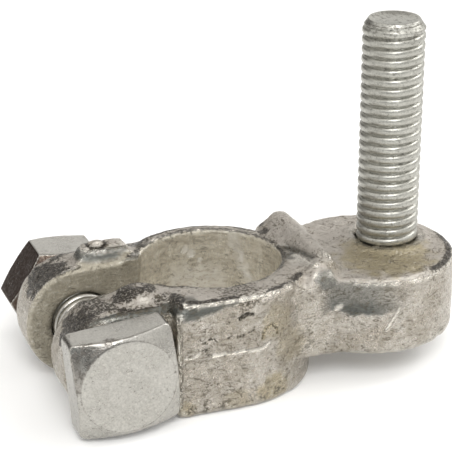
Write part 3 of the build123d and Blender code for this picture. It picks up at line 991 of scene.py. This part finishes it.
def make_stud(material):
    """The pressed-in foot as CAD has it, and above it the thread up to a coned end."""
    foot = cut_off(cad_mesh("terminal_stud"), (0, 0, STUD_SPLIT), (0, 0, 1))
    foot = remeshed(foot, HARDWARE_VOXEL)
    soften(foot, rounds=2, fill_rounds=0)
    length = HIGH_STUD.z - STUD_SPLIT
    points, low, high = threaded_rod(length, plain_length=0.1 * MM, plain_radius=3.35 * MM,
                                     end_radius=3.22 * MM, end_length=1.05 * MM, dish=0.24 * MM)
    wobble = 1 + 0.006 * noise_at(points, 1.5 * MM, seed=21)
    points[:, :2] *= wobble[:, None]
    across = np.hypot(points[:, 0], points[:, 1])
    points[:, :2] *= np.minimum(1, CREST_RADIUS / np.maximum(across, 0.01 * MM))[:, None]
    shaft = rod_mesh("shaft", points, low, high, lambda p: p + np.array((STUD_X, 0, STUD_SPLIT)))
    mesh = joined("stud", (foot, shaft))
    put_mask(mesh, "dark", stud_shade_and_marks(points_of(mesh)))
    return new_piece("stud", mesh, "clamp", "terminal_stud", material)


def along_y(points):
    """Turns a rod's +Z into +Y and puts its start behind the head."""
    return np.stack((BOLT_X + points[:, 0], BOLT_SPLIT + points[:, 2], BOLT_Z - points[:, 1]),
                    axis=-1)


def worn_flats(mesh, seed):
    """Uneven faces and small dents, all inward, as on tumbled and plated hardware."""
    points, normals = points_of(mesh), normals_of(mesh)
    dents = 0.035 * pits(points, 2.2 * MM, seed, share=0.25)
    waves = 0.018 + 0.018 * noise_at(points, 2.5 * MM, seed)
    waves = waves + 0.006 * noise_at(points, 0.7 * MM, seed + 1)
    put_points(mesh, points - ((waves + dents) * MM)[:, None] * normals)


def head_reflection_and_ring(points):
    """A painted dark reflection on the upper corner of the head's face, and a dark ring round its
    middle.
    """
    x, z = points[:, 0] - BOLT_X, points[:, 2] - BOLT_Z
    ragged = noise_at(points, 1.2 * MM, seed=33)
    # painted dark reflection on the corner facing up and to the left
    to_corner = x * -0.8 + z * 0.6
    from_middle = np.hypot(x, z)
    corner = fade(to_corner, 3.2 * MM, 5.4 * MM) * fade(from_middle, 5.7 * MM, 5.9 * MM)
    corner = 0.60 * (corner * (points[:, 1] < -14.0 * MM)) * (1 - 0.4 * fade(ragged, 0.1, 0.5))
    circle = 0.62 * np.exp(-((from_middle / MM - 5.85) / 0.13) ** 2) * (points[:, 1] < -14.6 * MM)
    return np.maximum(corner, circle)


def make_bolt(material):
    head = cut_off(cad_mesh("clamp_bolt"), (0, BOLT_SPLIT, 0), (0, 1, 0))
    head = remeshed(head, HARDWARE_VOXEL)
    soften(head, rounds=3, fill_rounds=0)
    worn_flats(head, seed=31)
    length = HIGH_BOLT.y - BOLT_SPLIT
    points, low, high = threaded_rod(length, plain_length=3.0 * MM, plain_radius=3.9 * MM,
                                     end_radius=3.2 * MM, end_length=1.1 * MM, dish=0.12 * MM)
    shank = rod_mesh("shank", points, low, high, along_y)
    mesh = joined("bolt", (head, shank))
    put_mask(mesh, "dark", head_reflection_and_ring(points_of(mesh)))
    return new_piece("bolt", mesh, "bolt", "clamp_bolt", material)


def tapped(points):
    """Cuts the thread's grooves and a countersink in the nut's bore, outside the bolt's crests."""
    x, z = points[:, 0] - BOLT_X, points[:, 2] - BOLT_Z
    across = np.maximum(np.hypot(x, z), MM)
    share = np.arctan2(-z, x) / (2 * math.pi)
    radius = thread_radius(points[:, 1] - BOLT_SPLIT, share)
    ridge = (radius - ROOT_RADIUS) / (CREST_RADIUS - ROOT_RADIUS)
    from_face = np.minimum(points[:, 1] - LOW_NUT.y, HIGH_NUT.y - points[:, 1])
    countersink = COUNTERSINK * (1 - fade(from_face, 0.1 * MM, 0.7 * MM))
    groove = np.maximum(GROOVE_DEPTH * ridge, countersink) * MM
    scale = 1 + groove * (1 - fade(across, 4.2 * MM, 4.6 * MM)) / across
    points[:, 0] = BOLT_X + x * scale
    points[:, 2] = BOLT_Z + z * scale


def make_nut(material):
    mesh = remeshed(cad_mesh("clamp_nut"), HARDWARE_VOXEL)
    soften(mesh, rounds=3, fill_rounds=0)
    worn_flats(mesh, seed=41)
    points = points_of(mesh)
    tapped(points)
    put_points(mesh, points)
    normals = normals_of(mesh)
    # painted reflection: the facet facing up and to the left made dark brown; painted shade: the
    # face turned to the ear darkened
    facet_reflection = 0.95 * fade(normals @ np.array(DARK_REFLECTION_FACET), 0.80, 0.92)
    seat_shade = 0.85 * fade(-normals[:, 1], 0.5, 0.8)
    put_mask(mesh, "dark", np.maximum(facet_reflection, seat_shade))
    return new_piece("nut", mesh, "nut", "clamp_nut", material)


make_casting(tinned_casting())
stud_finish = zinc_steel("zinc_stud", tint=(1.02, 1.03, 0.99), freckle_level=0.415,
                         smoothest=0.30, roughest=0.42)
bolt_finish = zinc_steel("zinc_bolt", tint=(1.0, 0.99, 0.965), freckle_level=0.385,
                         smoothest=0.22, roughest=0.34)
make_stud(stud_finish)
make_bolt(bolt_finish)
make_nut(bolt_finish)


# ---------------------------------------------------------------- floor, light and camera
FLOOR_LIFT = 0.10
FLOOR_SIZE = 4.0
FLOOR_GAP = 0.05 * MM    # below the object, so that the two don't meet
FLOOR_PALE = ((0.90, 0.90, 0.895), (0.93, 0.93, 0.925))
WHITE = (1.0, 1.0, 1.0)
HORIZON = (0.52, 0.51, 0.50)
DOME = (1.08, 1.065, 1.04)
# darker parts of the studio: direction, cosines where it starts and is full, colour
STUDIO_PARTS = (
    ((-0.33, -0.90, 0.20), 0.72, 0.90, (0.11, 0.122, 0.130)),    # round the camera
    ((0.16, 0.44, 0.88), 0.88, 0.96, (0.42, 0.40, 0.38)),        # gap between the lamps overhead
    ((-0.50, 0.85, 0.12), 0.80, 0.97, (0.05, 0.042, 0.038)),     # doorway low at the back left
)


def floor_material():
    """Matt white paint, lifted to white where the camera or a reflection sees it."""
    mat, tree, shader = new_material("floor_paint")
    grain = noise_of(tree, object_coords(tree), scale=60.0, detail=2.0, rough=0.5)
    feed(tree, shader.inputs["Base Color"], blend_of(tree, grain, *FLOOR_PALE))
    shader.inputs["Roughness"].default_value = 0.9
    shader.inputs["Specular IOR Level"].default_value = 0.1
    path = tree.nodes.new("ShaderNodeLightPath").outputs
    shader.inputs["Emission Color"].default_value = (*WHITE, 1.0)
    seen = maths(tree, "MAXIMUM", path["Is Camera Ray"], path["Is Glossy Ray"])
    feed(tree, shader.inputs["Emission Strength"], times(tree, seen, FLOOR_LIFT))
    return mat


def make_floor():
    bpy.ops.mesh.primitive_plane_add(size=FLOOR_SIZE, location=(0, 0, -FLOOR_GAP))
    floor = bpy.context.object
    floor.name = "floor"
    floor.data.materials.append(floor_material())


def toward(tree, direction, point, wide, narrow):
    """1 where a direction is within a narrow cosine of a point of the sky, 0 beyond a wide one."""
    node = tree.nodes.new("ShaderNodeVectorMath")
    node.operation = "DOT_PRODUCT"
    feed(tree, node.inputs[0], direction)
    node.inputs[1].default_value = Vector(point).normalized()
    return step_up(tree, node.outputs["Value"], wide, narrow)


def make_world():
    """White to the camera; to the object a studio: bright dome with a dimmer horizon, dark
    blue-grey round the camera, a dim gap overhead and a dark doorway low at the back left."""
    world = bpy.data.worlds.new("studio")
    bpy.context.scene.world = world
    world.use_nodes = True
    tree = world.node_tree
    background = tree.nodes["Background"]
    direction = tree.nodes.new("ShaderNodeTexCoord").outputs["Generated"]
    split = tree.nodes.new("ShaderNodeSeparateXYZ")
    feed(tree, split.inputs[0], direction)
    room = blend_of(tree, step_up(tree, split.outputs["Z"], 0.0, 0.30), HORIZON, DOME)
    for point, wide, narrow, colour in STUDIO_PARTS:
        room = blend_of(tree, toward(tree, direction, point, wide, narrow), room, colour)
    camera_ray = tree.nodes.new("ShaderNodeLightPath").outputs["Is Camera Ray"]
    feed(tree, background.inputs["Color"], blend_of(tree, camera_ray, room, WHITE))
    background.inputs["Strength"].default_value = 1.0


def area_light(name, location, target, size, power):
    light = bpy.data.lights.new(name, "AREA")
    light.size = size
    light.energy = power
    lamp = bpy.data.objects.new(name, light)
    bpy.context.scene.collection.objects.link(lamp)
    lamp.location = location
    lamp.rotation_euler = (Vector(target) - Vector(location)).to_track_quat("-Z", "Y").to_euler()


def make_camera():
    """The photograph's viewpoint, 219 mm from its target, in a frame of 452 by 452 pixels."""
    azimuth, elevation = math.radians(-20.94), math.radians(22.67)
    distance, target = 0.219, Vector((0.00211, 0.0, 0.01893))
    focal_pixels, frame_pixels, sensor = 1757.28, 452, 36.0
    back = Vector((math.sin(azimuth) * math.cos(elevation),
                   -math.cos(azimuth) * math.cos(elevation), math.sin(elevation)))
    data = bpy.data.cameras.new("camera")
    data.sensor_fit = "HORIZONTAL"
    data.sensor_width = sensor
    data.lens = sensor * focal_pixels / frame_pixels
    data.clip_start = 0.01
    camera = bpy.data.objects.new("camera", data)
    bpy.context.scene.collection.objects.link(camera)
    camera.location = target + back * distance
    camera.rotation_euler = (-back).to_track_quat("-Z", "Y").to_euler()
    bpy.context.scene.camera = camera
    bpy.context.scene.view_settings.view_transform = "Standard"


make_floor()
make_world()
area_light("front_box", (-0.10, -0.40, 0.42), target=(0, 0, 0.01), size=0.24, power=1.6)
area_light("side_box", (0.42, 0.02, 0.34), target=(0, 0, 0.01), size=0.22, power=0.7)
make_camera()
